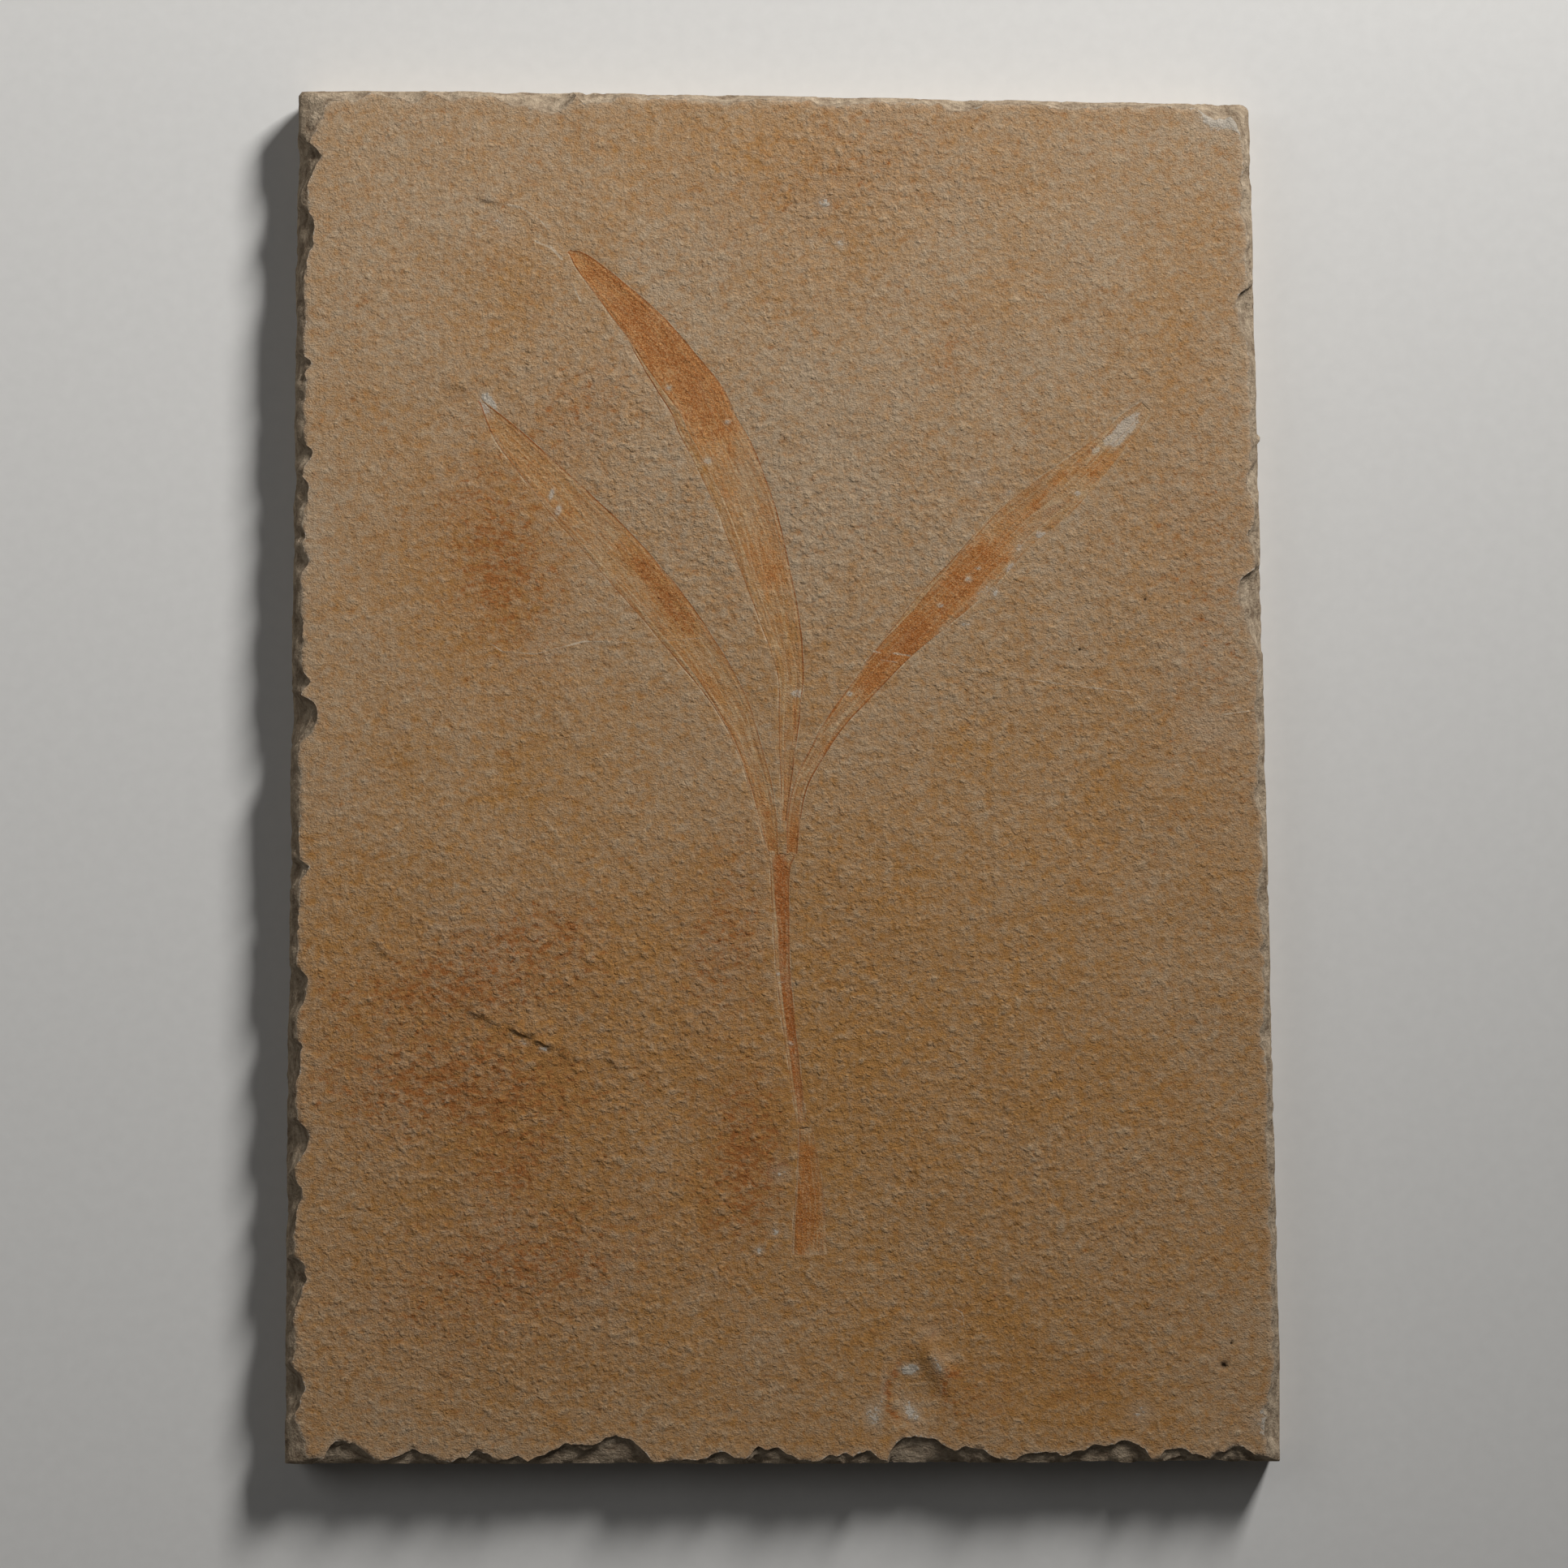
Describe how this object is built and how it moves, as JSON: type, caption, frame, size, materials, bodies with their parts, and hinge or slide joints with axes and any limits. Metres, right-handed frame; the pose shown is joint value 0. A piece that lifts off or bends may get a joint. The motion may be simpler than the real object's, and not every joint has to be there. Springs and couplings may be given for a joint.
{
  "type": "fossil leaf plate",
  "caption": "Trimmed plate of fine limestone with a long-stemmed plant of narrow pointed leaves pressed into its face, lying flat on its back.",
  "frame": {"origin": "under the middle of the plate's bounding box, on the surface that it lies on", "axes": "+Z out of the face with the plant, +Y towards the tips of the leaves, along the plate's height, +X to the right as one looks at the face with +Y up"},
  "size_m": [0.218, 0.3006, 0.0128],
  "materials": {
    "limestone": "split limestone, dry and matt, with an ochre bloom",
    "left_leaf_film": "iron-stained film, matt, patchy",
    "middle_leaf_film": "iron-stained film, matt, patchy",
    "right_leaf_film": "iron-stained film, matt, patchy",
    "stem_film": "iron-stained film, matt",
    "stem_base_film": "iron-stained film, matt, patchy"
  },
  "bodies": {
    "root": {"limestone_slab": "limestone", "left_leaf": "left_leaf_film", "middle_leaf": "middle_leaf_film", "right_leaf": "right_leaf_film", "stem": "stem_film", "stem_base": "stem_base_film"}
  },
  "joints": []
}
